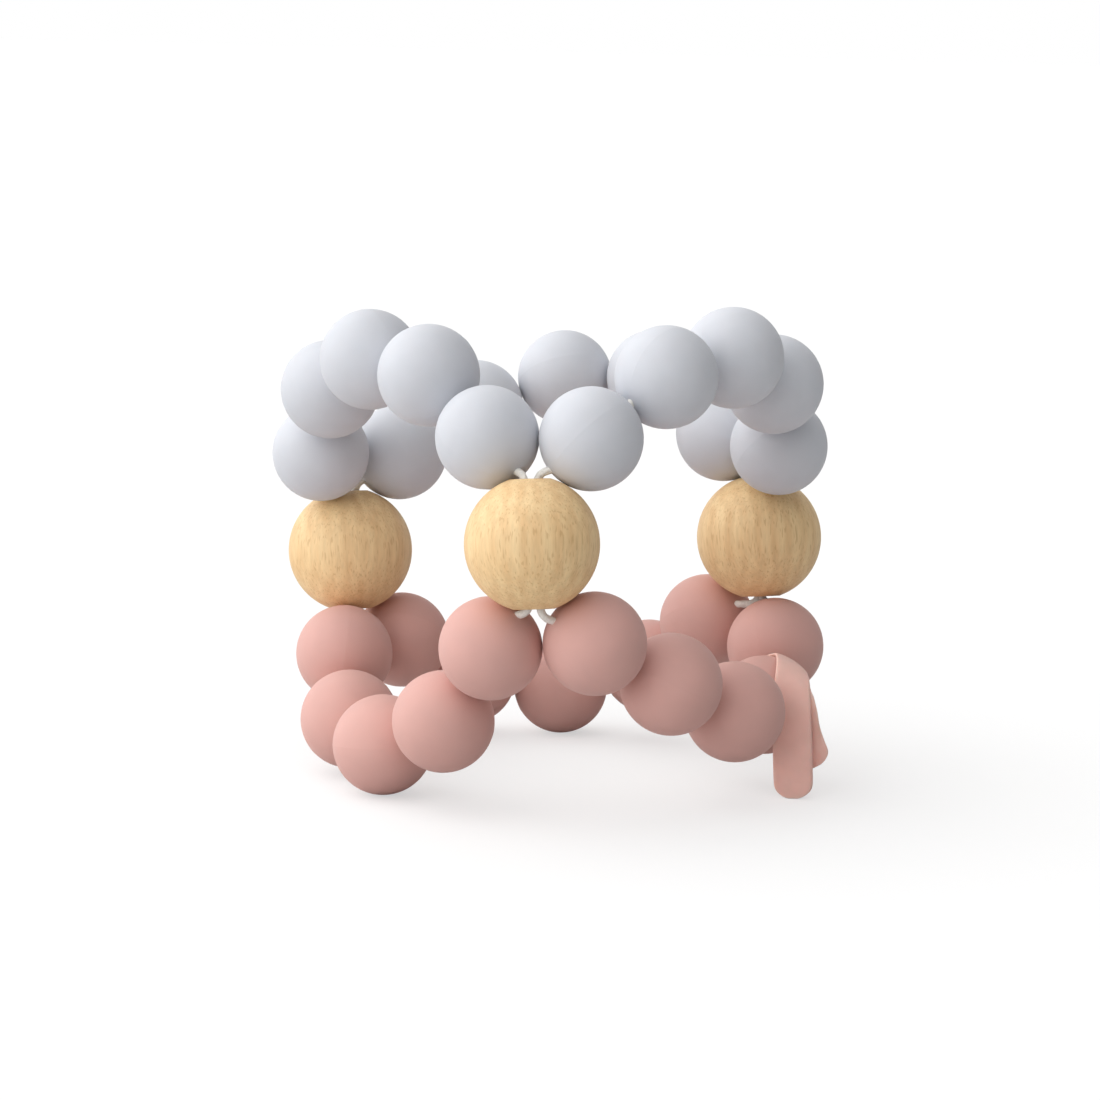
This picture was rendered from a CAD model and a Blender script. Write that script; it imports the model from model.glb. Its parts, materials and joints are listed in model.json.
"""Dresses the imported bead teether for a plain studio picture.

Moulded silicone beads, turned beech beads, the braided cord and the soft tag are modelled at the
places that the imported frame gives. Each rides on its own body, and the ring stands on a pale floor.
"""

import json
import math

import bmesh
import bpy
from mathutils import Matrix, Quaternion, Vector


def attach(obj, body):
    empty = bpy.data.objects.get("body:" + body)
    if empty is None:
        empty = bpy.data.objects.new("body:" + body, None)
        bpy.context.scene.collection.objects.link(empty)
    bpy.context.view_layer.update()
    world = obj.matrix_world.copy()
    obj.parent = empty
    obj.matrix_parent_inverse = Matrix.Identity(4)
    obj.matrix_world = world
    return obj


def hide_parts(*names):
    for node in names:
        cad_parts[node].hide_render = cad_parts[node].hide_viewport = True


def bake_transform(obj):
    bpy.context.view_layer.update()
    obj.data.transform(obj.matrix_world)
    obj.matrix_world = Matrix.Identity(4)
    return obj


bl_info = {
    "name": "Bead teether",
    "version": (1, 0, 0),
    "blender": (4, 5, 0),
    "location": "View3D > Sidebar > Teether",
    "description": "Models the beads, cord and tag of a bead teether, and a plain stage",
    "category": "Object",
}

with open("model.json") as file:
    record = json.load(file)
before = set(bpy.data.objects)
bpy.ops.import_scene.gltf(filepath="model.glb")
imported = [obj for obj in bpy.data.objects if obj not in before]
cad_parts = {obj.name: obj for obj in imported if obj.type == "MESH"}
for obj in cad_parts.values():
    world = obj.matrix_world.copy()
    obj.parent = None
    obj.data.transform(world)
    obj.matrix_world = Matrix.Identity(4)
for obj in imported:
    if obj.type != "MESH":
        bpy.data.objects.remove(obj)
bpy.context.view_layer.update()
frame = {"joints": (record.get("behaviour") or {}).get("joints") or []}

MM = 0.001
UP = Vector((0.0, 0.0, 1.0))
WHITE = (1.0, 1.0, 1.0, 1.0)
TOLERANCE = 0.001 * MM          # points nearer than this to a place count as there

# Layout of the ring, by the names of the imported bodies
BORES = {joint["child"]: (Vector(joint["pos_m"]), Vector(joint["axis"]))
         for joint in frame["joints"] if joint.get("continuous")}   # each bead's centre and bore direction
WOODS = ("left", "front", "right")
TIERS = {"upper": 1.0, "lower": -1.0}
ARCHES = {"left": ("left", "front"), "right": ("front", "right"), "back": ("right", "left")}
BEADS_PER_ARCH = 5
TAG_BEADS = ("lower_right_bead_4", "lower_right_bead_5")
RING_MIDDLE = sum((BORES[f"wood_bead_{wood}"][0] for wood in WOODS), Vector()) / len(WOODS)

# Beads
GOLDEN_ANGLE = math.radians(137.5)      # each bead is turned on its bore by this much more than the last
SILICONE_SEGMENTS = 48
WOOD_SEGMENTS = 64
BORE_CUTS = 6                   # rings of edges along a bore
MOUTH_SEGMENTS = 4
SEAM_SEGMENTS = 2
SEAM_REACH = 0.93               # the mould's seam lies further out than this, in radii
SEAM_END = 0.95                 # and nearer to the middle than this along the bore, in those reaches
PITH_SIDES_DEG = {"left": 105.0, "front": 84.0, "right": -72.0}     # where the tree's middle was
WAVE_PERIOD = 2 * math.pi / 20  # length of one wave of a wave texture of scale 1
GRAIN_STRETCH = 0.12            # how fast the grain changes along the bore, of how fast across it

# Cord
CORD_RESOLUTION = 10
CORD_SIDES = 4 + 2 * CORD_RESOLUTION    # points round a cord of that resolution
CORD_STEP = 0.25 * MM           # longest piece between two rings of those points
YARNS = 4                       # yarns in each direction of the braid
LINK_STEPS = 8
LINK_RISE = 0.7                 # how straight a free link leaves the wood, so that it clears the mouth's edge
LINK_ENTRY = 0.5                # how straight it goes into a silicone bead
LINK_OVERLAP = 2.5 * MM         # a free link starts this far inside a wooden bead
LINK_INSIDE = 1.5 * MM          # and ends this far inside a silicone bead
STRAND_INSET = 1.2 * MM         # the strand in a wooden bead ends this far inside, where a link goes on
STRAND_ROOM = 2.0               # room of a strand beside the knot from the bore's wall, in clearances
KNOT_ROOM = 4 / 3               # the knot's own room from the bore's wall, in clearances
KNOT_WAIST = 0.9                # girth between the knot's two swellings, of theirs
KNOT_WOOD = "left"              # wooden bead that hides the knot; in the others two strands cross
# Arches that a strand joins above and below: those before or after its wooden bead
CROSSING = {"a": {"upper": "before", "lower": "after"}, "b": {"upper": "after", "lower": "before"}}
STRAIGHT = {"a": {"upper": "after", "lower": "after"}, "b": {"upper": "before", "lower": "before"}}
STRAND_SIDES = {"a": 1.0, "b": -1.0}    # crossing strands pass each other outside and inside
KNOTTED = "b"

# Tag
PATH_STEPS = 40                 # steps of the strap's path round the bead, and as many in its bend
BACK_STEPS = 24
EYE_SIDES = 32
EYE_MARGIN = 1.2                # the path starts this far before the eye's middle, in rim radii
NECK_SIDE = math.radians(45.0)  # the neck grows out of the rim between this and its mirror image
NECK_PLACE = 1.25               # the neck has its own width this far from the eye's middle, in rim radii
BEND_PULL = 0.45                # reach of the bend's guide points, of its span
BRANCH_PLACE = 0.6              # share of the bend after which the back strap leaves the front one
BRANCH_THINNESS = 0.5           # thickness of the back strap where it leaves, of its full one
BACK_START = 0.5 * MM
BACK_SHOULDERS = ((1, 0.5), (2, 0.75), (4, 0.95))   # places in starts, and widths in necks
BACK_ROWS = 8
BACK_WIDTH = 0.9                # width of the back tail, of the front one's
TAIL_STEPS = 14
TAIL_WIDENING = 1.35            # how soon the neck widens to the full tail; 1 is at its end
END_ROUNDING = 0.34             # length of a tail's round end, in widths
END_TURNS_DEG = (25.0, 48.0, 66.0, 80.0)
FULL_THICKNESS = 0.8            # share of the strap's length at which it has its full thickness
EDGE_THINNING = 0.45            # share of its thickness that the strap loses at its edges
EDGE_SHARPNESS = 4              # the higher, the nearer to the edge it does

# Stage
SENSOR_MM = 36.0
CLIP_START, CLIP_END = 0.01, 50.0
FLOOR_RADIUS = 6.0
FLOOR_SIDES = 96
FLOOR_GLOW = 0.565              # lifts the paper to white for the camera, and leaves its shadow
LIGHT_FROM = (-0.905, -0.06, 0.42)
LIGHT_DARK, LIGHT_BRIGHT = -1.06, 2.30      # level of the soft light on the far side and where it comes from
LIGHT_LEAST = 0.05


def linear(hex_colour):
    """An sRGB hex colour as linear RGBA."""
    parts = [int(hex_colour[i:i + 2], 16) / 255 for i in (0, 2, 4)]
    return tuple(c / 12.92 if c <= 0.04045 else ((c + 0.055) / 1.055) ** 2.4 for c in parts) + (1.0,)


def length(name, description, default_mm):
    """A length property, given in millimetres."""
    return bpy.props.FloatProperty(name=name, description=description, default=default_mm * MM,
                                   subtype="DISTANCE", unit="LENGTH", precision=5)


def angle(name, description, default_deg):
    """An angle property, given in degrees."""
    return bpy.props.FloatProperty(name=name, description=description, default=math.radians(default_deg),
                                   subtype="ANGLE", unit="ROTATION")


def colour(name, description, hex_colour):
    """A colour property, given as sRGB hex."""
    return bpy.props.FloatVectorProperty(name=name, description=description, default=linear(hex_colour),
                                         size=4, min=0.0, max=1.0, subtype="COLOR")


class SiliconeSettings(bpy.types.PropertyGroup):
    diameter: length("Diameter", "Outside of a silicone bead", 15.5)
    bore: length("Bore", "Hole for the cord", 2.0)
    mouth: length("Mouth rounding", "Radius at the ends of the bore", 0.4)
    seam_width: length("Seam width", "Width of the mould's parting line", 0.36)
    seam_height: length("Seam height", "How far the parting line stands proud", 0.03)
    grey: colour("Grey", "Silicone of the upper arches", "CED0D6")
    rose: colour("Rose", "Silicone of the lower arches", "D7A89F")


class WoodSettings(bpy.types.PropertyGroup):
    diameter: length("Diameter", "Outside of a wooden bead", 20.0)
    bore: length("Bore", "Hole for the cord", 5.0)
    mouth: length("Mouth rounding", "Radius at the ends of the bore", 0.8)
    ring_width: length("Ring width", "Spacing of the growth rings", 2.3)
    pith: length("Pith", "Distance of the tree's middle from the bead", 70.0)
    early: colour("Early wood", "Pale part of a growth ring", "F3D3A0")
    late: colour("Late wood", "Dark part of a growth ring", "E4BC88")
    fleck: colour("Fleck", "Ray flecks along the grain", "C2935F")


class CordSettings(bpy.types.PropertyGroup):
    diameter: length("Diameter", "Thickness of the cord", 1.2)
    clearance: length("Clearance", "Room between the cord and a bore's wall", 0.2)
    off_axis: length("Off axis", "How far off a wooden bead's axis a strand leaves it", 1.0)
    knot: length("Knot", "Thickness of the closing knot", 2.4)
    knot_length: length("Knot length", "Length of the closing knot", 3.6)
    yarn: colour("Yarn", "Braided nylon", "F4F1EA")
    braid: length("Braid", "Length of one crossing of the braid", 1.6)
    relief: length("Relief", "How far the yarns stand out of the braid", 0.06)


class TagSettings(bpy.types.PropertyGroup):
    eye: length("Eye", "Radius of the punched eye", 3.6)
    rim: length("Rim", "Ring of strap round the eye", 1.1)
    neck: length("Neck", "Width where the strap bends over the bead", 5.0)
    tail: length("Tail", "Width of the hanging tail", 6.2)
    eye_thickness: length("Eye thickness", "Thickness between the beads", 0.55)
    tail_thickness: length("Tail thickness", "Thickness of the hanging tail", 1.8)
    standoff: length("Standoff", "Distance of the tail's end from the bead beside it", 2.0)
    bend_standoff: length("Bend standoff", "Distance of the strap's bend from the bead beside it", 2.1)
    clearance: length("Clearance", "Room between the strap and the bead it lies on", 0.1)
    back_shorter: length("Back tail shorter", "How far the back tail ends above the front one", 4.8)
    back_aside: length("Back tail aside", "How far the back tail shows beside the front one", 1.3)
    back_thickness: length("Back thickness", "Thickness of the back tail", 0.9)
    wrap: angle("Wrap", "How far the strap lies round the bead", 62.0)
    turn: angle("Turn", "Turn of the strap about the cord", 32.0)
    heading: angle("Heading", "Side of the bead that the tail ends on, to the right of the front", 31.0)
    bend_heading: angle("Bend heading", "Side of the bead that the strap bends down on", 26.0)
    facing: angle("Facing", "Side that the flat of the tail faces, to the right of the front", -8.0)
    fan: angle("Fan", "Back tail's lean to the side", 15.0)
    spread: angle("Spread", "Back tail's lean away from the front tail", 7.0)
    salmon: colour("Salmon", "Soft moulded strap", "F2C4B8")


class StageSettings(bpy.types.PropertyGroup):
    azimuth: angle("Azimuth", "Camera's place round the ring, from the front to the right", 3.06)
    elevation: angle("Elevation", "Camera's height above the ring", 8.59)
    roll: angle("Roll", "Camera's lean", 1.37)
    distance: length("Distance", "From the camera to the ring's middle", 590.0)
    focal: length("Focal length", "Lens of the camera", 123.58)
    aim: bpy.props.FloatVectorProperty(name="Aim", description="Point in the middle of the picture", size=3,
                                       default=(0.00101, 0.00206, 0.03606), subtype="XYZ", unit="LENGTH")
    floor: colour("Floor", "Pale paper floor, as the camera sees it", "ADADAD")
    bounce: colour("Bounce", "Pale paper floor, as it lights the beads", "CECECE")


def select_only(obj):
    """Leaves one object selected and active, in object mode."""
    bpy.ops.object.select_all(action="DESELECT")
    obj.select_set(True)
    bpy.context.view_layer.objects.active = obj


def pick(obj, test):
    """Selects the edges, in edit mode, whose two ends pass a test of their place."""
    bpy.ops.mesh.select_mode(type="EDGE")
    bpy.ops.mesh.select_all(action="DESELECT")
    shape = bmesh.from_edit_mesh(obj.data)
    for edge in shape.edges:
        if all(test(vert.co) for vert in edge.verts):
            edge.select_set(True)
    shape.select_flush_mode()
    bmesh.update_edit_mesh(obj.data)


def apply_modifier(obj, name, kind, **settings):
    """Adds a modifier with its settings and applies it."""
    modifier = obj.modifiers.new(name, kind)
    for key, value in settings.items():
        setattr(modifier, key, value)
    select_only(obj)
    bpy.ops.object.modifier_apply(modifier=name)


def finish_piece(obj, material):
    """Smooth shading and the finish."""
    select_only(obj)
    bpy.ops.object.shade_smooth()
    obj.data.materials.clear()
    obj.data.materials.append(material)


def towards(side):
    """Level direction at an angle from the front to the right."""
    return Vector((math.sin(side), -math.cos(side), 0.0))


def square_to(axis, direction):
    """The part of a direction that is square to an axis."""
    return (direction - axis * direction.dot(axis)).normalized()


def bezier(bend, part):
    """Point on a curve with four guide points."""
    rest = 1.0 - part
    return (bend[0] * rest ** 3 + bend[1] * 3 * part * rest ** 2 + bend[2] * 3 * part ** 2 * rest
            + bend[3] * part ** 3)


def add(tree, kind, inputs=None, **settings):
    """Adds a node, sets its properties, and sets or links its inputs."""
    made = tree.nodes.new(kind)
    for key, value in settings.items():
        setattr(made, key, value)
    for socket, value in (inputs or {}).items():
        if isinstance(value, bpy.types.NodeSocket):
            tree.links.new(value, made.inputs[socket])
        else:
            made.inputs[socket].default_value = value
    return made


def new_material(name):
    """An empty node material and its tree."""
    material = bpy.data.materials.new(name)
    material.use_nodes = True
    material.node_tree.nodes.clear()
    return material, material.node_tree


def per_size(size_mm):
    """Texture scale that gives a pattern of one size, in millimetres, on coordinates in metres."""
    return 1.0 / (size_mm * MM)


# In the materials, a Mix node takes two numbers at inputs 2 and 3 and gives one at output 0. It takes two
# colours at inputs 6 and 7 and gives one at output 2.


def moulded_silicone(name, base):
    """Moulded silicone: matt from the spark-eroded mould, faintly cloudy in its pigment, soft at the edges."""
    material, tree = new_material(name)
    place = add(tree, "ShaderNodeTexCoord").outputs["Object"]
    cloud = add(tree, "ShaderNodeTexNoise", {"Vector": place, "Scale": per_size(5.0), "Detail": 2.0})
    shade = add(tree, "ShaderNodeMapRange", {
        "Value": cloud.outputs["Fac"], "From Min": 0.3, "From Max": 0.7, "To Min": 0.97, "To Max": 1.02})
    tint = add(tree, "ShaderNodeMix", {"Factor": 1.0, 6: base, 7: shade.outputs["Result"]},
               data_type="RGBA", blend_type="MULTIPLY")
    # Real spark texture is about 0.05 mm; it is drawn four times as coarse, to show at all.
    grit = add(tree, "ShaderNodeTexNoise", {"Vector": place, "Scale": per_size(0.2), "Detail": 3.0})
    bump = add(tree, "ShaderNodeBump", {
        "Height": grit.outputs["Fac"], "Strength": 0.25, "Distance": 0.02 * MM})
    wear = add(tree, "ShaderNodeTexNoise", {"Vector": place, "Scale": per_size(2.5), "Detail": 3.0})
    rough = add(tree, "ShaderNodeMapRange", {
        "Value": wear.outputs["Fac"], "From Min": 0.3, "From Max": 0.7, "To Min": 0.58, "To Max": 0.68})
    shader = add(tree, "ShaderNodeBsdfPrincipled", {
        "Base Color": tint.outputs[2], "Roughness": rough.outputs["Result"], "Normal": bump.outputs["Normal"],
        "IOR": 1.41, "Specular IOR Level": 0.4, "Subsurface Weight": 0.12,
        "Subsurface Radius": (1.0, 0.7, 0.6), "Subsurface Scale": 1.2 * MM,
        "Sheen Weight": 0.06, "Sheen Roughness": 0.5})
    add(tree, "ShaderNodeOutputMaterial", {"Surface": shader.outputs["BSDF"]})
    return material


def turned_beech(name, centre, bore, pith_side, sizes):
    """Turned and sanded beech: pale, with fine growth rings, grain along the bore and short ray flecks."""
    material, tree = new_material(name)
    place = add(tree, "ShaderNodeTexCoord").outputs["Object"]
    upright = bore.to_track_quat("Z", "Y")
    on_bore = add(tree, "ShaderNodeMapping", {
        "Vector": place, "Location": centre, "Rotation": upright.to_euler()}, vector_type="TEXTURE")
    pith = upright.inverted() @ towards(pith_side) * sizes.pith
    in_tree = add(tree, "ShaderNodeMapping", {"Vector": on_bore.outputs["Vector"], "Location": -pith})
    grain = add(tree, "ShaderNodeMapping", {
        "Vector": in_tree.outputs["Vector"], "Scale": (1.0, 1.0, GRAIN_STRETCH)}).outputs["Vector"]
    rings = add(tree, "ShaderNodeTexWave", {
        "Vector": grain, "Scale": WAVE_PERIOD / sizes.ring_width, "Distortion": 3.2, "Detail": 3.0,
        "Detail Scale": 1.4}, wave_type="RINGS", rings_direction="Z", wave_profile="SIN")
    # Uneven growth: soft streaks of several widths lie over the even rings.
    streak = add(tree, "ShaderNodeTexNoise", {
        "Vector": grain, "Scale": per_size(1.9), "Detail": 4.0, "Roughness": 0.6})
    streak_tone = add(tree, "ShaderNodeMapRange", {
        "Value": streak.outputs["Fac"], "From Min": 0.32, "From Max": 0.68})
    figure = add(tree, "ShaderNodeMix", {
        0: 0.7, 2: rings.outputs["Fac"], 3: streak_tone.outputs["Result"]}, data_type="FLOAT")
    ring_tone = add(tree, "ShaderNodeValToRGB", {"Fac": figure.outputs[0]})
    pale, dark = ring_tone.color_ramp.elements
    pale.color, pale.position = sizes.early, 0.15
    dark.color, dark.position = sizes.late, 1.0
    fibre = add(tree, "ShaderNodeTexNoise", {"Vector": grain, "Scale": per_size(0.45), "Detail": 3.0})
    fibre_tone = add(tree, "ShaderNodeMapRange", {
        "Value": fibre.outputs["Fac"], "From Min": 0.3, "From Max": 0.7, "To Min": 0.93, "To Max": 1.04})
    streaked = add(tree, "ShaderNodeMix", {
        "Factor": 1.0, 6: ring_tone.outputs["Color"], 7: fibre_tone.outputs["Result"]},
        data_type="RGBA", blend_type="MULTIPLY")
    fleck = add(tree, "ShaderNodeTexNoise", {"Vector": grain, "Scale": per_size(0.24), "Detail": 0.0})
    fleck_mask = add(tree, "ShaderNodeMapRange", {
        "Value": fleck.outputs["Fac"], "From Min": 0.63, "From Max": 0.74, "To Min": 0.0, "To Max": 0.38})
    wood = add(tree, "ShaderNodeMix", {
        "Factor": fleck_mask.outputs["Result"], 6: streaked.outputs[2], 7: sizes.fleck}, data_type="RGBA")
    rough = add(tree, "ShaderNodeMapRange", {"Value": fibre.outputs["Fac"], "To Min": 0.62, "To Max": 0.48})
    bump = add(tree, "ShaderNodeBump", {
        "Height": fibre.outputs["Fac"], "Strength": 0.3, "Distance": 0.04 * MM})
    shader = add(tree, "ShaderNodeBsdfPrincipled", {
        "Base Color": wood.outputs[2], "Roughness": rough.outputs["Result"], "Normal": bump.outputs["Normal"],
        "IOR": 1.5, "Specular IOR Level": 0.4})
    add(tree, "ShaderNodeOutputMaterial", {"Surface": shader.outputs["BSDF"]})
    return material


def braided_nylon(name, yarn):
    """Braided nylon: off-white, with fine filaments in its yarns and a faint silky shine."""
    material, tree = new_material(name)
    place = add(tree, "ShaderNodeTexCoord").outputs["Object"]
    filament = add(tree, "ShaderNodeTexNoise", {"Vector": place, "Scale": per_size(0.3), "Detail": 2.0})
    shade = add(tree, "ShaderNodeMapRange", {
        "Value": filament.outputs["Fac"], "From Min": 0.3, "From Max": 0.7, "To Min": 0.86, "To Max": 1.0})
    tint = add(tree, "ShaderNodeMix", {"Factor": 1.0, 6: yarn, 7: shade.outputs["Result"]},
               data_type="RGBA", blend_type="MULTIPLY")
    bump = add(tree, "ShaderNodeBump", {
        "Height": filament.outputs["Fac"], "Strength": 0.5, "Distance": 0.05 * MM})
    shader = add(tree, "ShaderNodeBsdfPrincipled", {
        "Base Color": tint.outputs[2], "Normal": bump.outputs["Normal"], "Roughness": 0.55, "IOR": 1.53,
        "Sheen Weight": 0.2})
    add(tree, "ShaderNodeOutputMaterial", {"Surface": shader.outputs["BSDF"]})
    return material


def soft_strap(name, salmon):
    """Soft moulded strap: matt salmon, slightly see-through where it is thin."""
    material, tree = new_material(name)
    place = add(tree, "ShaderNodeTexCoord").outputs["Object"]
    cloud = add(tree, "ShaderNodeTexNoise", {"Vector": place, "Scale": per_size(3.0), "Detail": 2.0})
    shade = add(tree, "ShaderNodeMapRange", {
        "Value": cloud.outputs["Fac"], "From Min": 0.3, "From Max": 0.7, "To Min": 0.96, "To Max": 1.03})
    tint = add(tree, "ShaderNodeMix", {"Factor": 1.0, 6: salmon, 7: shade.outputs["Result"]},
               data_type="RGBA", blend_type="MULTIPLY")
    grit = add(tree, "ShaderNodeTexNoise", {"Vector": place, "Scale": per_size(0.25), "Detail": 3.0})
    bump = add(tree, "ShaderNodeBump", {
        "Height": grit.outputs["Fac"], "Strength": 0.3, "Distance": 0.02 * MM})
    shader = add(tree, "ShaderNodeBsdfPrincipled", {
        "Base Color": tint.outputs[2], "Normal": bump.outputs["Normal"], "Roughness": 0.6, "IOR": 1.41,
        "Specular IOR Level": 0.4, "Subsurface Weight": 0.4, "Subsurface Radius": (1.0, 0.5, 0.4),
        "Subsurface Scale": 1.5 * MM})
    add(tree, "ShaderNodeOutputMaterial", {"Surface": shader.outputs["BSDF"]})
    return material


def drilled_ball(name, sizes, segments):
    """A ball drilled along Z, with rounded mouths, left in edit mode."""
    radius = sizes.diameter / 2
    mouth_z = math.sqrt(radius ** 2 - (sizes.bore / 2) ** 2)

    def at_mouth(co):
        return abs(abs(co.z) - mouth_z) < TOLERANCE

    bpy.ops.object.select_all(action="DESELECT")
    bpy.ops.mesh.primitive_uv_sphere_add(segments=segments, ring_count=segments // 2, radius=radius)
    ball = bpy.context.object
    ball.name = name
    bpy.ops.object.mode_set(mode="EDIT")
    for side in (1.0, -1.0):
        bpy.ops.mesh.select_all(action="SELECT")
        bpy.ops.mesh.bisect(plane_co=(0.0, 0.0, side * mouth_z), plane_no=(0.0, 0.0, side), clear_outer=True)
    pick(ball, at_mouth)
    bpy.ops.mesh.bridge_edge_loops(number_cuts=BORE_CUTS)
    pick(ball, at_mouth)
    bpy.ops.mesh.bevel(offset=sizes.mouth, offset_type="OFFSET", segments=MOUTH_SEGMENTS, affect="EDGES")
    bpy.ops.mesh.select_all(action="SELECT")
    bpy.ops.mesh.normals_make_consistent(inside=False)
    return ball


def strung_copy(pattern, name, centre, bore, spin):
    """Copies a bead modelled about Z onto its place on the cord, with the place in its mesh."""
    select_only(pattern)
    bpy.ops.object.duplicate()
    bead = bpy.context.object
    bead.name = name
    bead.data.name = name
    turn = bore.to_track_quat("Z", "Y") @ Quaternion(UP, spin)
    bead.matrix_world = Matrix.LocRotScale(centre, turn, None)
    bpy.ops.object.transform_apply(location=True, rotation=True, scale=True)
    return bead


class TEETHER_OT_silicone_beads(bpy.types.Operator):
    """Moulds one silicone bead, and strings a copy at each place in the six arches"""
    bl_idname = "teether.silicone_beads"
    bl_label = "Silicone beads"

    def execute(self, context):
        sizes = context.scene.teether_silicone
        pattern = drilled_ball("silicone_bead", sizes, SILICONE_SEGMENTS)
        reach = sizes.diameter / 2 * SEAM_REACH

        def on_seam(co):
            return abs(co.y) < TOLERANCE and co.length > reach and abs(co.z) < reach * SEAM_END

        pick(pattern, on_seam)
        bpy.ops.mesh.bevel(offset=sizes.seam_width / 2, offset_type="OFFSET", segments=SEAM_SEGMENTS,
                           affect="EDGES")
        pick(pattern, on_seam)
        bpy.ops.transform.shrink_fatten(value=sizes.seam_height)
        bpy.ops.object.mode_set(mode="OBJECT")
        apply_modifier(pattern, "smooth", "SUBSURF", levels=1, render_levels=1)
        finishes = {"upper": (moulded_silicone("moulded_silicone_grey", sizes.grey), "grey_silicone"),
                    "lower": (moulded_silicone("moulded_silicone_rose", sizes.rose), "rose_silicone")}
        number = 0
        for tier, (material, slot) in finishes.items():
            for body, (centre, bore) in BORES.items():
                if not body.startswith(tier):
                    continue
                bead = strung_copy(pattern, body + "_moulded", centre, bore, GOLDEN_ANGLE * number)
                finish_piece(bead, material)
                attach(bead, body)
                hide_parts(body)
                number += 1
        bpy.data.objects.remove(pattern)
        return {"FINISHED"}


class TEETHER_OT_wooden_beads(bpy.types.Operator):
    """Turns one wooden bead, and strings a copy at each of the three corners"""
    bl_idname = "teether.wooden_beads"
    bl_label = "Wooden beads"

    def execute(self, context):
        sizes = context.scene.teether_wood
        pattern = drilled_ball("beech_bead", sizes, WOOD_SEGMENTS)
        bpy.ops.object.mode_set(mode="OBJECT")
        apply_modifier(pattern, "smooth", "SUBSURF", levels=1, render_levels=1)
        for number, wood in enumerate(WOODS):
            body = f"wood_bead_{wood}"
            centre, bore = BORES[body]
            bead = strung_copy(pattern, body + "_turned", centre, bore, GOLDEN_ANGLE * number)
            pith_side = math.radians(PITH_SIDES_DEG[wood])
            finish_piece(bead, turned_beech(f"turned_beech_{wood}", centre, bore, pith_side, sizes))
            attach(bead, body)
            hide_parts(body)
        bpy.data.objects.remove(pattern)
        return {"FINISHED"}


def arch_route(tier, arch, half, pull):
    """Cord through an arch, from its first wooden bead, pulled to the inner side of each bore."""
    places = [BORES[f"{tier}_{arch}_bead_{number}"] for number in range(1, BEADS_PER_ARCH + 1)]
    route = []
    for number, (centre, bore) in enumerate(places):
        crown = min(max(number, 1), BEADS_PER_ARCH - 2)
        inward = (places[crown - 1][0] + places[crown + 1][0]) / 2 - places[crown][0]
        middle = centre + square_to(bore, inward) * pull
        route += [middle - bore * half, middle, middle + bore * half]
    return route


def strand_mouth(wood, tier, bead, shift, sizes, wood_sizes):
    """Where a strand leaves a wooden bead's bore: off its axis, towards the bead it goes to."""
    centre, bore = BORES[f"wood_bead_{wood}"]
    up = bore * TIERS[tier]
    off_axis = square_to(up, bead - centre) * sizes.off_axis
    return centre + off_axis + shift + up * (wood_sizes.diameter + sizes.clearance) / 2


def link_route(start, out, bead_mouth, into):
    """Free length of cord: out of a wooden bead as the strand in it runs, and into a silicone bead's bore."""
    end = bead_mouth + into * LINK_INSIDE
    reach = (end - start).length
    bend = [start, start + out * reach * LINK_RISE, end - into * reach * LINK_ENTRY, end]
    return [bezier(bend, step / LINK_STEPS) for step in range(LINK_STEPS + 1)]


def raise_yarns(cord, sizes):
    """Lifts the yarns of a braid, which cross in two directions, out of a plain tube of rings."""
    points = cord.data.vertices
    run, before = 0.0, None
    for first in range(0, len(points) - CORD_SIDES + 1, CORD_SIDES):
        ring = [points[first + corner] for corner in range(CORD_SIDES)]
        middle = sum((point.co for point in ring), Vector()) / CORD_SIDES
        run += (middle - before).length if before else 0.0
        before = middle
        onward = 2 * math.pi * run / sizes.braid
        for corner, point in enumerate(ring):
            around = YARNS * 2 * math.pi * corner / CORD_SIDES
            lift = max(math.cos(around + onward), math.cos(around - onward))
            point.co += (point.co - middle).normalized() * sizes.relief * (0.5 + 0.5 * lift)


def cord_piece(name, route, sizes, material, thick=None):
    """A length of braided cord along a smooth route, as a mesh; thick gives the girth at each point."""
    curve = bpy.data.curves.new(name, "CURVE")
    curve.dimensions = "3D"
    curve.bevel_depth = sizes.diameter / 2 - sizes.relief
    curve.bevel_resolution = CORD_RESOLUTION
    longest = max((after - before).length for before, after in zip(route, route[1:]))
    curve.resolution_u = math.ceil(longest / CORD_STEP)
    curve.use_fill_caps = True
    spline = curve.splines.new("BEZIER")
    spline.bezier_points.add(len(route) - 1)
    for number, (knot, point) in enumerate(zip(spline.bezier_points, route)):
        knot.co = point
        knot.handle_left_type = "AUTO"
        knot.handle_right_type = "AUTO"
        knot.radius = thick[number] if thick else 1.0
    cord = bpy.data.objects.new(name, curve)
    bpy.context.scene.collection.objects.link(cord)
    select_only(cord)
    bpy.ops.object.convert(target="MESH")
    cord = bpy.context.object
    raise_yarns(cord, sizes)
    finish_piece(cord, material)
    return cord


def thread_arches(sizes, silicone, material):
    """Cord through the six arches; gives each arch's body, end bead, and cord in and at its mouth."""
    mouth_out = silicone.bore / 2 + silicone.mouth
    half = math.sqrt((silicone.diameter / 2 - silicone.mouth) ** 2 - mouth_out ** 2)
    pull = silicone.bore / 2 - sizes.diameter / 2 - sizes.clearance
    ends = {}
    for tier in TIERS:
        for arch, (first, last) in ARCHES.items():
            body = f"{tier}_{arch}_arch"
            route = arch_route(tier, arch, half, pull)
            cord = cord_piece(f"cord_{tier}_{arch}_braid", route, sizes, material)
            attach(cord, body)
            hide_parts(f"cord_{tier}_{arch}")
            first_bead, last_bead = (BORES[f"{tier}_{arch}_bead_{number}"][0] for number in (1, BEADS_PER_ARCH))
            ends[tier, first, "after"] = (body, first_bead, route[1], route[0])
            ends[tier, last, "before"] = (body, last_bead, route[-2], route[-1])
    return ends


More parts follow.
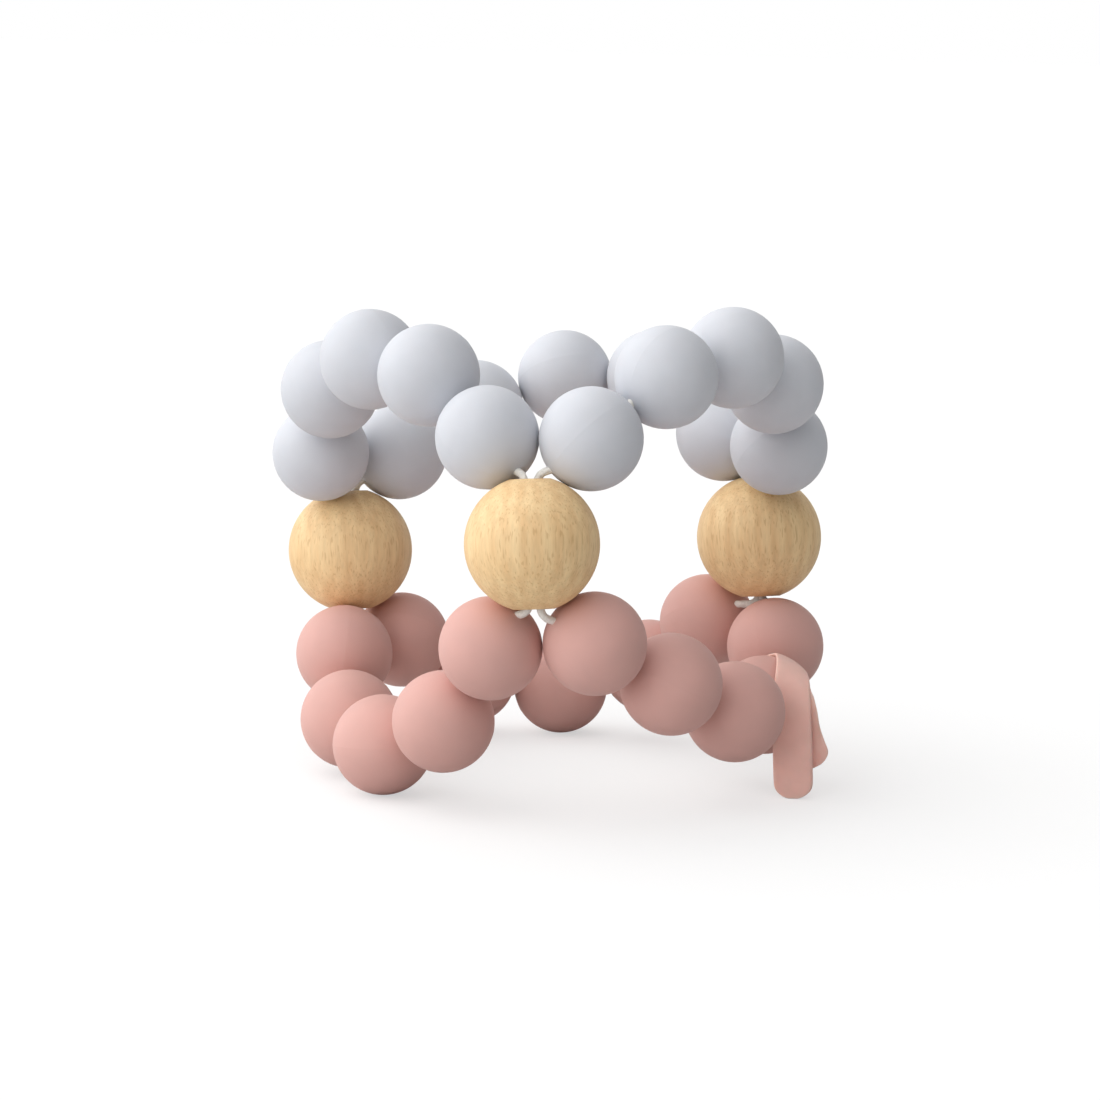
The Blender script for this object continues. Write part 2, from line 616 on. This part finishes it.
def thread_wood(wood, label, ends, sizes, wood_sizes, material):
    """One strand through a wooden bead, and the free links that join it to an arch above and below."""
    centre, bore = BORES[f"wood_bead_{wood}"]
    crossing = wood != KNOT_WOOD
    knotted = not crossing and label == KNOTTED
    sides = (CROSSING if crossing else STRAIGHT)[label]
    shift = Vector()
    if crossing:
        radial = square_to(bore, centre - RING_MIDDLE)
        shift = radial * STRAND_SIDES[label] * (sizes.diameter + sizes.clearance) / 2
    mouths = {tier: strand_mouth(wood, tier, ends[tier, wood, side][1], shift, sizes, wood_sizes)
              for tier, side in sides.items()}
    middle = centre + shift
    if not crossing:
        outer = ((mouths["upper"] + mouths["lower"]) / 2 - centre).normalized()
        girth, room = (sizes.knot, KNOT_ROOM) if knotted else (sizes.diameter, STRAND_ROOM)
        middle += outer * (wood_sizes.bore / 2 - girth / 2 - room * sizes.clearance)

    strand_ends = []
    for tier, side in sides.items():
        body, _, inner, bead_mouth = ends[tier, wood, side]
        mouth = mouths[tier]
        out = (mouth - middle).normalized()
        route = link_route(mouth - out * LINK_OVERLAP, out, bead_mouth, (inner - bead_mouth).normalized())
        link = cord_piece(f"cord_link_{tier}_{wood}_{side}", route, sizes, material)
        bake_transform(link)
        strand_ends.append(mouth - out * STRAND_INSET)

    upper, lower = strand_ends
    route = [upper, upper.lerp(middle, 0.5), middle, middle.lerp(lower, 0.5), lower]
    node, thick = f"cord_in_{wood}_wood_{label}", None
    if knotted:
        node = f"cord_knot_in_{wood}_wood"
        reach = bore * sizes.knot_length / 2
        route[2:3] = [middle + reach, middle + reach / 2, middle, middle - reach / 2, middle - reach]
        swell = sizes.knot / sizes.diameter
        thick = [1.0, 1.0, 1.0, swell, swell * KNOT_WAIST, swell, 1.0, 1.0, 1.0]
    strand = cord_piece(node + "_braid", route, sizes, material, thick)
    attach(strand, "cord_core")
    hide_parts(node)


class TEETHER_OT_cord(bpy.types.Operator):
    """Threads the cord: arches, links at the wooden beads, crossing strands and the knot"""
    bl_idname = "teether.cord"
    bl_label = "Cord"

    def execute(self, context):
        scene = context.scene
        sizes = scene.teether_cord
        material = braided_nylon("braided_nylon", sizes.yarn)
        ends = thread_arches(sizes, scene.teether_silicone, material)
        for wood in WOODS:
            for label in STRAND_SIDES:
                thread_wood(wood, label, ends, sizes, scene.teether_wood, material)
        return {"FINISHED"}


def strap_radius(sizes, bead_r):
    """Radius of the strap's middle where it lies round its bead."""
    return bead_r + sizes.clearance + sizes.eye_thickness / 2


def front_path(sizes, bead_r):
    """The front strap's path as (run, point, normal, grip), and the run at which the back strap leaves it.

    The path goes round the bead, bends and hangs down. Grip says how closely the strap's width is
    wrapped round the bead, from 0 to 1.
    """
    bead, above = (BORES[name][0] for name in TAG_BEADS)
    axis = (above - bead).normalized()
    over = Matrix.Rotation(sizes.turn, 3, axis) @ square_to(axis, UP)
    radius = strap_radius(sizes, bead_r)
    first, wrap = -(sizes.eye + sizes.rim) * EYE_MARGIN, sizes.wrap * radius
    path = []
    for step in range(PATH_STEPS + 1):
        run = first + (wrap - first) * step / PATH_STEPS
        normal = axis * math.cos(run / radius) + over * math.sin(run / radius)
        path.append((run, bead + normal * radius, normal, 1.0))
    _, start, last, _ = path[-1]
    leaving = axis.cross(over).cross(last)
    face = towards(sizes.facing)
    knee = bead + towards(sizes.bend_heading) * (bead_r + sizes.bend_standoff)
    foot = bead + towards(sizes.heading) * (bead_r + sizes.standoff)
    foot.z = 0.0
    pull = (knee - start).length * BEND_PULL
    bend = [start, start + leaving * pull, knee + (knee - foot).normalized() * pull, knee]
    for step in range(1, PATH_STEPS + 1):
        part = step / PATH_STEPS
        point = bezier(bend, part)
        run = path[-1][0] + (point - path[-1][1]).length
        path.append((run, point, (last * (1.0 - part) + face * part).normalized(), (1.0 - part) ** 2))
    branch = path[PATH_STEPS + round(PATH_STEPS * BRANCH_PLACE)][0]
    path.append((path[-1][0] + (foot - knee).length, foot, face, 0.0))
    return path, branch


def along(path, run):
    """The piece of a path that a run falls on: its number, and how far along it."""
    index = 1
    while index < len(path) - 1 and path[index][0] < run:
        index += 1
    return index, (run - path[index - 1][0]) / (path[index][0] - path[index - 1][0])


def back_path(front, branch, sizes):
    """The back strap's path: behind the front one from their branch, beside it, and further out at its end."""
    face, knee = front[-1][2], front[-2][0]
    right = UP.cross(face)
    end = front[-1][0] - sizes.back_shorter
    path = []
    for step in range(BACK_STEPS + 1):
        run = branch + (end - branch) * step / BACK_STEPS
        index, part = along(front, run)
        point = front[index - 1][1].lerp(front[index][1], part)
        normal = front[index - 1][2].lerp(front[index][2], part).normalized()
        leaving = min((run - branch) / (knee - branch), 1.0)
        hanging = max(run - knee, 0.0)
        behind = (sizes.tail_thickness + sizes.back_thickness) / 2 * leaving + math.tan(sizes.spread) * hanging
        beside = sizes.back_aside * leaving ** 0.5 + math.tan(sizes.fan) * hanging ** 2 / (end - knee)
        point = point - normal * behind + right * beside
        before = path[-1] if path else (0.0, point)
        path.append((before[0] + (point - before[1]).length, point, normal, 0.0))
    return path


def laid_along(path, co, radius):
    """Place of a point of the flat strap, along X, once it is laid along its path."""
    index, part = along(path, co.x)
    (_, point0, normal0, grip0), (_, point1, normal1, grip1) = path[index - 1], path[index]
    ahead_before = point0 - path[max(index - 2, 0)][1]
    ahead = (point1 - point0).normalized()
    if ahead_before.length > 0:
        ahead = (ahead_before.normalized() * (1 - part) + ahead * (1 + part)).normalized()
    across = ahead.cross(normal0.lerp(normal1, part)).normalized()
    outward = across.cross(ahead).normalized()
    grip = grip0 + (grip1 - grip0) * part
    aside = co.y + ((radius + co.z) * math.sin(co.y / radius) - co.y) * grip
    lift = co.z + ((radius + co.z) * math.cos(co.y / radius) - radius - co.z) * grip
    return point0.lerp(point1, part) + across * aside + outward * lift


def draw_out(place, width, stations):
    """Draws the chosen edge of a flat strap out along X, through places that each have a width."""
    for ahead, wide in stations:
        bpy.ops.mesh.extrude_edges_move(TRANSFORM_OT_translate={"value": (ahead - place, 0.0, 0.0)})
        bpy.ops.transform.resize(value=(1.0, wide / width, 1.0), center_override=(ahead, 0.0, 0.0))
        place, width = ahead, wide


def tail_stations(first, last, neck, tail):
    """Places and widths along a strap that widens into a tail with a round end."""
    straight = last - tail * END_ROUNDING
    stations = []
    for step in range(1, TAIL_STEPS + 1):
        part = step / TAIL_STEPS
        width = neck + (tail - neck) * min(1.0, part * TAIL_WIDENING)
        stations.append((first + (straight - first) * part, width))
    for turn_deg in END_TURNS_DEG:
        turn = math.radians(turn_deg)
        stations.append((straight + tail * END_ROUNDING * math.sin(turn), tail * math.cos(turn)))
    return stations


def finish_strap(strap, path, radius, sizes, thickness, thin_share, material):
    """Thickness, soft edges, place along the path and finish of a strap that was modelled flat."""
    bpy.ops.mesh.select_all(action="SELECT")
    bpy.ops.mesh.normals_make_consistent(inside=False)
    bpy.ops.object.mode_set(mode="OBJECT")
    thick_from, thick_to = sizes.wrap * radius, path[-1][0] * FULL_THICKNESS
    thick = strap.vertex_groups.new(name="thick")
    for vert in strap.data.vertices:
        part = (vert.co.x - thick_from) / (thick_to - thick_from)
        thick.add([vert.index], min(max(part, 0.0), 1.0), "REPLACE")
    apply_modifier(strap, "thickness", "SOLIDIFY", thickness=thickness, offset=0.0,
                   vertex_group="thick", thickness_vertex_group=thin_share)
    for vert in strap.data.vertices:
        edge = min(abs(vert.co.y) / (sizes.tail / 2), 1.0)
        vert.co.z *= 1.0 - EDGE_THINNING * edge ** EDGE_SHARPNESS
        vert.co = laid_along(path, vert.co, radius)
    apply_modifier(strap, "smooth", "SUBSURF", levels=2, render_levels=2)
    finish_piece(strap, material)
    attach(strap, "tag")


def front_strap(path, radius, sizes, material):
    """The front strap, from its punched eye to the end of its tail."""
    rim = sizes.eye + sizes.rim
    bpy.ops.object.select_all(action="DESELECT")
    bpy.ops.mesh.primitive_circle_add(vertices=EYE_SIDES, radius=sizes.eye, fill_type="NOTHING")
    strap = bpy.context.object
    strap.name = "tag_front_strap"
    bpy.ops.object.mode_set(mode="EDIT")
    bpy.ops.mesh.select_all(action="SELECT")
    bpy.ops.mesh.extrude_edges_move()
    bpy.ops.transform.resize(value=(rim / sizes.eye, rim / sizes.eye, 1.0))
    neck_x, neck_wide = rim * math.cos(NECK_SIDE), 2 * rim * math.sin(NECK_SIDE)
    pick(strap, lambda co: co.length > rim - TOLERANCE and co.x > neck_x - TOLERANCE)
    place = rim * NECK_PLACE
    bpy.ops.mesh.extrude_edges_move()
    bpy.ops.transform.resize(value=(0.0, sizes.neck / neck_wide, 1.0), center_override=(place, 0.0, 0.0))
    draw_out(place, sizes.neck, tail_stations(place, path[-1][0], sizes.neck, sizes.tail))
    finish_strap(strap, path, radius, sizes, sizes.tail_thickness,
                 sizes.eye_thickness / sizes.tail_thickness, material)
    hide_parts("tag")


def back_strap(path, radius, sizes, material):
    """The back strap, from where it leaves the front one to the end of its tail."""
    bpy.ops.object.select_all(action="DESELECT")
    bpy.ops.mesh.primitive_grid_add(x_subdivisions=1, y_subdivisions=BACK_ROWS, size=sizes.neck)
    strap = bpy.context.object
    strap.name = "tag_back_strap"
    bpy.ops.object.mode_set(mode="EDIT")
    bpy.ops.transform.translate(value=(sizes.neck / 2, 0.0, 0.0))
    (start, shoulder), *rise = [(BACK_START * place, sizes.neck * share) for place, share in BACK_SHOULDERS]
    bpy.ops.transform.resize(value=(start / sizes.neck, shoulder / sizes.neck, 1.0),
                             center_override=(0.0, 0.0, 0.0))
    pick(strap, lambda co: co.x > start - TOLERANCE)
    tail = tail_stations(rise[-1][0], path[-1][0], sizes.neck, sizes.tail * BACK_WIDTH)
    draw_out(start, shoulder, rise + tail)
    finish_strap(strap, path, radius, sizes, sizes.back_thickness, BRANCH_THINNESS, material)


class TEETHER_OT_tag(bpy.types.Operator):
    """Models the soft tag flat, with its eye, and lays it over its bead so that its tails hang"""
    bl_idname = "teether.tag"
    bl_label = "Tag"

    def execute(self, context):
        sizes = context.scene.teether_tag
        bead_r = context.scene.teether_silicone.diameter / 2
        radius = strap_radius(sizes, bead_r)
        material = soft_strap("soft_salmon_strap", sizes.salmon)
        path, branch = front_path(sizes, bead_r)
        front_strap(path, radius, sizes, material)
        back_strap(back_path(path, branch, sizes), radius, sizes, material)
        return {"FINISHED"}


def pale_paper(name, settings):
    """Coated paper: matt and even; the camera sees it lifted to white, with the ring's soft shadow on it."""
    material, tree = new_material(name)
    ray = add(tree, "ShaderNodeLightPath")
    paper = add(tree, "ShaderNodeBsdfDiffuse", {"Color": settings.floor})
    glow = add(tree, "ShaderNodeEmission", {"Strength": FLOOR_GLOW})
    seen = add(tree, "ShaderNodeAddShader", {0: paper.outputs["BSDF"], 1: glow.outputs["Emission"]})
    bounce = add(tree, "ShaderNodeBsdfDiffuse", {"Color": settings.bounce})
    mixed = add(tree, "ShaderNodeMixShader", {
        0: ray.outputs["Is Camera Ray"], 1: bounce.outputs["BSDF"], 2: seen.outputs["Shader"]})
    add(tree, "ShaderNodeOutputMaterial", {"Surface": mixed.outputs["Shader"]})
    return material


def soft_studio(name):
    """World that lights from one side, fading round to the other, and looks white itself."""
    world = bpy.data.worlds.new(name)
    world.use_nodes = True
    tree = world.node_tree
    tree.nodes.clear()
    direction = add(tree, "ShaderNodeTexCoord").outputs["Generated"]
    side = add(tree, "ShaderNodeVectorMath", {0: direction, 1: LIGHT_FROM}, operation="DOT_PRODUCT")
    fade = add(tree, "ShaderNodeMapRange", {
        "Value": side.outputs["Value"], "From Min": -1.0, "From Max": 1.0,
        "To Min": LIGHT_DARK, "To Max": LIGHT_BRIGHT})
    level = add(tree, "ShaderNodeMath", {0: fade.outputs["Result"], 1: LIGHT_LEAST}, operation="MAXIMUM")
    dome = add(tree, "ShaderNodeBackground", {"Color": WHITE, "Strength": level.outputs["Value"]})
    white = add(tree, "ShaderNodeBackground", {"Color": WHITE, "Strength": 1.0})
    ray = add(tree, "ShaderNodeLightPath")
    mirrored = add(tree, "ShaderNodeMath", {
        0: ray.outputs["Is Camera Ray"], 1: ray.outputs["Is Glossy Ray"]}, operation="MAXIMUM")
    seen = add(tree, "ShaderNodeMath", {
        0: mirrored.outputs["Value"], 1: ray.outputs["Is Transmission Ray"]}, operation="MAXIMUM")
    mixed = add(tree, "ShaderNodeMixShader", {
        0: seen.outputs["Value"], 1: dome.outputs["Background"], 2: white.outputs["Background"]})
    add(tree, "ShaderNodeOutputWorld", {"Surface": mixed.outputs["Shader"]})
    return world


class TEETHER_OT_stage(bpy.types.Operator):
    """Lays the pale floor, sets the soft light and aims the camera"""
    bl_idname = "teether.stage"
    bl_label = "Stage"

    def execute(self, context):
        scene = context.scene
        settings = scene.teether_stage
        scene.view_settings.view_transform = "Standard"

        bpy.ops.object.select_all(action="DESELECT")
        bpy.ops.mesh.primitive_circle_add(vertices=FLOOR_SIDES, radius=FLOOR_RADIUS, fill_type="NGON")
        floor = bpy.context.object
        floor.name = "floor"
        floor.data.materials.append(pale_paper("pale_paper_floor", settings))

        scene.world = soft_studio("soft_studio")

        bpy.ops.object.camera_add()
        camera = bpy.context.object
        camera.data.sensor_width = SENSOR_MM
        camera.data.lens = settings.focal / MM
        camera.data.clip_start = CLIP_START
        camera.data.clip_end = CLIP_END
        azimuth, elevation = settings.azimuth, settings.elevation
        back = towards(azimuth) * math.cos(elevation) + UP * math.sin(elevation)
        level_right = Vector((math.cos(azimuth), math.sin(azimuth), 0.0))
        right = Matrix.Rotation(settings.roll, 3, back) @ level_right
        turn = Matrix((right, back.cross(right), back)).transposed()
        camera.matrix_world = Matrix.LocRotScale(Vector(settings.aim) + back * settings.distance,
                                                 turn.to_quaternion(), None)
        scene.camera = camera
        return {"FINISHED"}


class TEETHER_PT_sidebar(bpy.types.Panel):
    """Lists the teether's pieces and their settings"""
    bl_idname = "TEETHER_PT_sidebar"
    bl_label = "Bead teether"
    bl_space_type = "VIEW_3D"
    bl_region_type = "UI"
    bl_category = "Teether"

    def draw(self, context):
        for operator, (pointer, group) in PIECES.items():
            column = self.layout.column(align=True)
            column.operator(operator.bl_idname)
            for name in group.__annotations__:
                column.prop(getattr(context.scene, pointer), name)


# Operators in the order they run, with the scene property and the settings of each
PIECES = {
    TEETHER_OT_silicone_beads: ("teether_silicone", SiliconeSettings),
    TEETHER_OT_wooden_beads: ("teether_wood", WoodSettings),
    TEETHER_OT_cord: ("teether_cord", CordSettings),
    TEETHER_OT_tag: ("teether_tag", TagSettings),
    TEETHER_OT_stage: ("teether_stage", StageSettings),
}


def register():
    for operator, (pointer, group) in PIECES.items():
        bpy.utils.register_class(group)
        setattr(bpy.types.Scene, pointer, bpy.props.PointerProperty(type=group))
        bpy.utils.register_class(operator)
    bpy.utils.register_class(TEETHER_PT_sidebar)


def unregister():
    bpy.utils.unregister_class(TEETHER_PT_sidebar)
    for operator, (pointer, group) in reversed(PIECES.items()):
        bpy.utils.unregister_class(operator)
        delattr(bpy.types.Scene, pointer)
        bpy.utils.unregister_class(group)


def main():
    register()
    bpy.ops.teether.silicone_beads()
    bpy.ops.teether.wooden_beads()
    bpy.ops.teether.cord()
    bpy.ops.teether.tag()
    bpy.ops.teether.stage()


if __name__ == "__main__":
    main()
